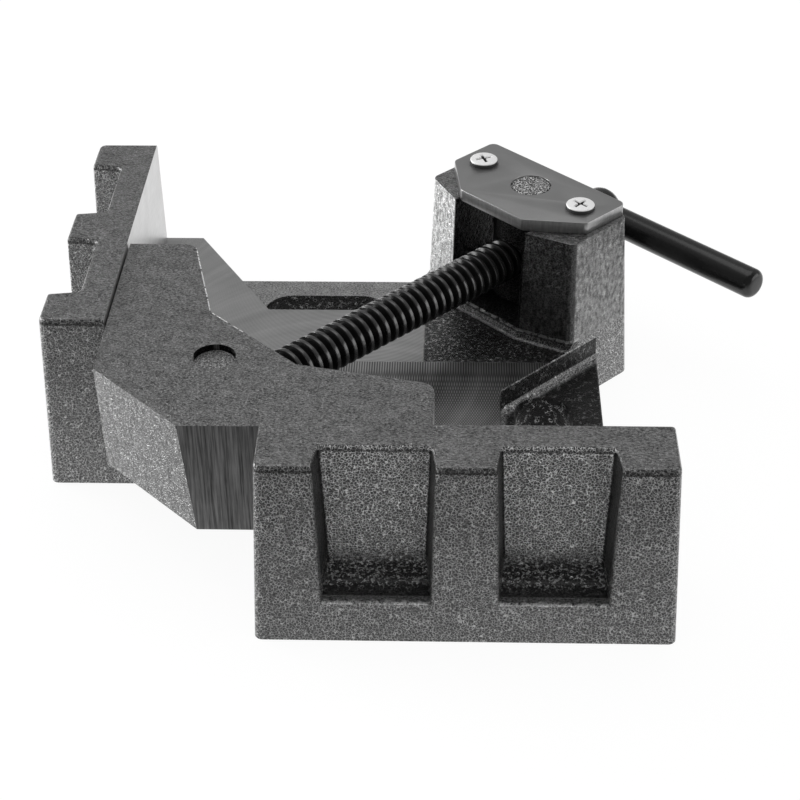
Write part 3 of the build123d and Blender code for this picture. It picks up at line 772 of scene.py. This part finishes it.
def shape_thread(shape):
    """One turn of the helix, repeated along the axis and trimmed square at both ends."""
    first = shoulder - THREAD_PITCH
    turns = int((head_front - first) / THREAD_PITCH) + 1
    start = axis_start + DIAGONAL * first
    ring = []
    for run, deep in THREAD_PROFILE:
        corner = start + DIAGONAL * run * THREAD_PITCH + UP * (crest - deep * THREAD_DEPTH)
        ring.append(shape.verts.new(corner))
    edges = [shape.edges.new(pair) for pair in zip(ring, ring[1:])]
    bmesh.ops.spin(
        shape,
        geom=ring + edges,
        cent=start,
        axis=DIAGONAL,
        dvec=DIAGONAL * THREAD_PITCH / THREAD_STEPS,
        angle=2 * pi,
        steps=THREAD_STEPS,
    )
    one_turn = shape.verts[:] + shape.edges[:] + shape.faces[:]
    for turn in range(1, turns):
        copy = bmesh.ops.duplicate(shape, geom=one_turn)["geom"]
        corners = [part for part in copy if isinstance(part, bmesh.types.BMVert)]
        bmesh.ops.translate(shape, verts=corners, vec=DIAGONAL * THREAD_PITCH * turn)
    bmesh.ops.remove_doubles(shape, verts=shape.verts, dist=SAME_THREAD_CORNER)
    for end, outwards in ((shoulder, -DIAGONAL), (thread_end, DIAGONAL)):
        cut_away(shape, end, outwards)
        open_edges = [edge for edge in shape.edges if edge.is_boundary]
        rim = [edge for edge in open_edges if abs(along(edge.verts[0].co) - end) < NEAR]
        bmesh.ops.holes_fill(shape, edges=rim)


def shape_tip(shape):
    """The tip, the journal and the ring's groove, as packed."""
    as_packed(shape, "lead_screw")
    cut_away(shape, shoulder, DIAGONAL)
    bmesh.ops.holes_fill(shape, edges=[edge for edge in shape.edges if edge.is_boundary])


def shape_head(shape):
    radius = head_radius - HEAD_EASED
    inner = radius - HEAD_FRONT_RADIUS
    profile = [(thread_end, 0), (thread_end, inner), (head_front, inner), (head_front, radius)]
    profile += [(screw_end, radius), (screw_end, 0)]
    profile = rounded(rounded(profile, 4, HEAD_EDGE_RADIUS), 3, HEAD_FRONT_RADIUS)
    turn_profile(shape, profile, axis_start, DIAGONAL, UP, ROUND_STEPS)


def shape_bar_bore(shape):
    radius = bar_radius + BORE_CLEARANCE
    lying = SIDEWAYS.to_track_quat("Z", "Y").to_matrix().to_4x4()
    placed = Matrix.Translation(axis_start + DIAGONAL * bar_along) @ lying
    size = {"radius1": radius, "radius2": radius, "depth": 4 * head_radius}
    bmesh.ops.create_cone(shape, cap_ends=True, segments=ROUND_STEPS, matrix=placed, **size)


screw_head = piece("screw_head", shape_head, black, "black_oxide", "screw", "lead_screw")
cut(screw_head, shape_bar_bore)
thread = piece("thread", shape_thread, black, "black_oxide", "screw", "lead_screw")
screw_tip = piece("screw_tip", shape_tip, black, "black_oxide", "screw", "lead_screw")
threaded_screw = join("threaded_screw", thread, screw_tip, screw_head)
smooth(threaded_screw, 40)

# Cover screws: pan heads with a cross recess
plate_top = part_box("cover_plate")[1].z
cover_points = [vertex.co for vertex in nodes["cover_screws"].data.vertices]
heads = [point for point in cover_points if point.z > plate_top - NEAR]
heads_along = [along(point) for point in heads]
cover_low = min(point.z for point in cover_points)
cover_along = (max(heads_along) + min(heads_along)) / 2
cover_radius = (max(heads_along) - min(heads_along)) / 2
cover_across = max(across(point) for point in heads) - cover_radius
shank_radius = cover_radius * SHANK_SHARE


def cover_place(side, height):
    """A point on the axis of the cover screw on one side, at a height over the plate."""
    return DIAGONAL * cover_along + SIDEWAYS * side * cover_across + UP * (plate_top + height)


def shape_cover_screws(shape):
    for side in (-1, 1):
        low = cover_low - plate_top
        profile = [(low, 0), (low, shank_radius), (0, shank_radius), (0, cover_radius)]
        for step in range(HEAD_ROUNDING_STEPS + 1):
            turn = step / HEAD_ROUNDING_STEPS * pi / 2
            rise = HEAD_HEIGHT - HEAD_DOME - HEAD_ROUNDING * (1 - sin(turn))
            profile.append((rise, cover_radius - HEAD_ROUNDING * (1 - cos(turn))))
        for share in (0.75, 0.5, 0.25, 0):
            profile.append((HEAD_HEIGHT - HEAD_DOME * share**2, (cover_radius - HEAD_ROUNDING) * share))
        turn_profile(shape, profile, cover_place(side, 0), UP, SIDEWAYS, HEAD_STEPS)


def cross_recess(side, turned_by):
    """Maker of the tapered cross in one cover screw."""
    inner_corner = Vector((RECESS_WIDTH, -RECESS_WIDTH, 0)) / 2
    arm_corners = [Vector((RECESS_SPAN, aside, 0)) / 2 for aside in (-RECESS_WIDTH, RECESS_WIDTH)]

    def shape_cross(shape):
        middle = cover_place(side, HEAD_HEIGHT + CUT_ABOVE)
        rim = []
        for quarter in range(4):
            turn = Matrix.Rotation(radians(turned_by + 90 * quarter), 4, "Z")
            for corner in (inner_corner, *arm_corners):
                rim.append(shape.verts.new(middle + turn @ corner))
        cross = shape.faces.new(rim)
        grown = bmesh.ops.extrude_face_region(shape, geom=[cross])["geom"]
        deep = [part for part in grown if isinstance(part, bmesh.types.BMVert)]
        taper = (RECESS_TAPER, RECESS_TAPER, 1)
        bmesh.ops.translate(shape, verts=deep, vec=-UP * RECESS_DEPTH)
        bmesh.ops.scale(shape, verts=deep, vec=taper, space=Matrix.Translation(-middle))

    return shape_cross


cover_screws = piece(
    "pan_head_screws", shape_cover_screws, zinc, "zinc_plate", "clamp_body", "cover_screws"
)
for side, turned_by in RECESS_TURNS:
    cut(cover_screws, cross_recess(side, turned_by))
smooth(cover_screws, 40)

# Floor and backdrop: white to the camera, and in reflections darker towards the camera's side
STAGE_SIZE = 6.0
SHADOW_SHARE = 0.12  # how much of the floor's own shading the camera sees
SEEN_WHITE = 1.05  # makes up for the share of shading where no shadow falls
FRONT_LEVEL = 0.28  # brightness that a reflection finds in front of the clamp
FRONT_TO_BACK = (-0.15, 0.1)  # y on the floor, from that brightness to white
SKY_FRONT = FRONT_LEVEL * 0.4
SKY_BACK = 0.42
AMBIENT = 0.6  # light of the room on dull surfaces
WHITE = (1, 1, 1, 1)
floor_shape = bmesh.new()
bmesh.ops.create_grid(floor_shape, x_segments=1, y_segments=1, size=STAGE_SIZE)
floor = bpy.data.objects.new("floor", bpy.data.meshes.new("floor"))
floor_shape.to_mesh(floor.data)
floor_shape.free()
bpy.context.scene.collection.objects.link(floor)
floor.location = (0, 0, packed_bounds[0].z)

table = Finish("table", Roughness=1.0, Base_Color=(0.85, 0.85, 0.85, 1), Specular_IOR_Level=0.0)
seen = table.ray("Camera")
mirrored = table.ray("Glossy") + table.ray("Transmission")
behind = table.parts(table.place())[1].ramp(*FRONT_TO_BACK)
strength = seen * SEEN_WHITE + mirrored * table.mixed(behind, FRONT_LEVEL, 1.0)
white = table.node("ShaderNodeEmission", inputs={"Color": WHITE, "Strength": strength})
shares = {0: seen * (1 - SHADOW_SHARE) + mirrored, 1: Value(table, table.surface.outputs[0]), 2: white}
blended = table.node("ShaderNodeMixShader", inputs=shares)
table.feed(table.tree.nodes["Material Output"].inputs["Surface"], blended)
floor.data.materials.append(table.material)

world = bpy.data.worlds.new("studio")
bpy.context.scene.world = world
room = Shader(world)
direction = room.parts(room.node("ShaderNodeTexCoord", output="Generated"))
seen = room.ray("Camera")
mirrored = room.ray("Glossy") + room.ray("Transmission")
reflected = mirrored * room.mixed(direction[1].ramp(-0.5, 0.6), SKY_FRONT, SKY_BACK)
sky = room.tree.nodes["Background"]
sky.inputs["Color"].default_value = WHITE
room.feed(sky.inputs["Strength"], seen + reflected + (1 - seen - mirrored).greater(0) * AMBIENT)


def softbox(name, place, width, height, power):
    """A soft light at a place, turned to the middle of the clamp."""
    lamp = bpy.data.lights.new(name, "AREA")
    lamp.shape = "RECTANGLE"
    lamp.size = width
    lamp.size_y = height
    lamp.energy = power
    light = bpy.data.objects.new(name, lamp)
    light.location = place
    light.rotation_mode = "QUATERNION"
    light.rotation_quaternion = (CLAMP_MIDDLE - Vector(place)).to_track_quat("-Z", "Y")
    bpy.context.scene.collection.objects.link(light)


CLAMP_MIDDLE = Vector((0.07, 0.07, 0.03))
softbox("light_right", (0.9, -0.05, 0.2), width=0.7, height=0.4, power=1.3)
softbox("light_left", (-0.75, 0.35, 0.2), width=0.6, height=0.4, power=6)
softbox("light_top", (0.1, 0.3, 1.0), width=0.8, height=0.8, power=1.5)
